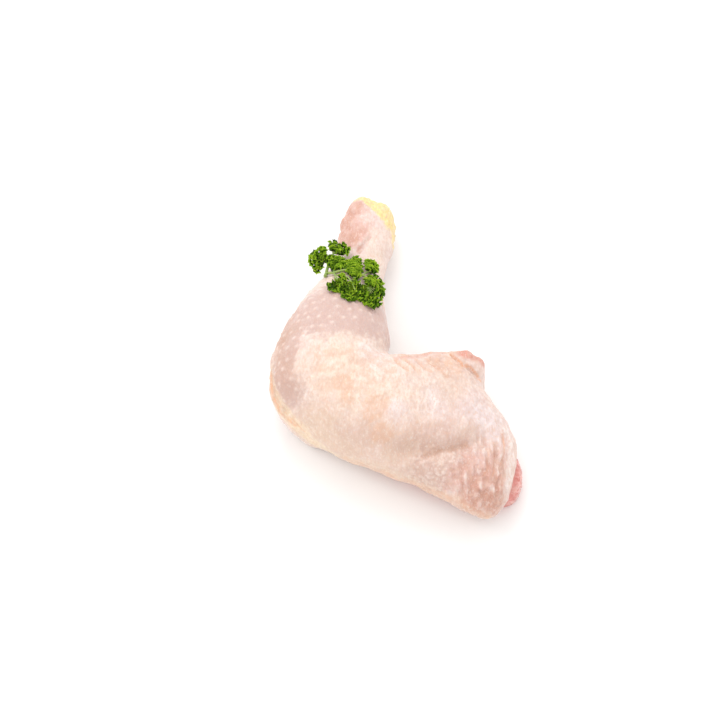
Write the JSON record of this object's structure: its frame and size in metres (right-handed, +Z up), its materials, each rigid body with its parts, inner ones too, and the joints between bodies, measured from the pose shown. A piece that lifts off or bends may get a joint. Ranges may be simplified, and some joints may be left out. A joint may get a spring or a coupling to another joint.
{
  "type": "chicken leg",
  "caption": "Raw chicken leg with its skin on, drumstick and thigh bent at the knee and lying on its side, bare meat at the thigh's cut end, and a sprig of curly parsley on the drumstick.",
  "frame": {"origin": "centre of the bounding box at its base, on the surface that the leg lies on", "axes": "+Y along the drumstick from the thigh towards the hock, +X from the knee towards the thigh's cut end, +Z up from the surface"},
  "size_m": [0.1114, 0.1716, 0.0465],
  "materials": {
    "skin": "moist satin",
    "meat": "moist",
    "parsley": "matte"
  },
  "bodies": {
    "root": {"leg": "skin", "thigh_meat": "meat", "parsley_sprig": "parsley"}
  },
  "joints": []
}
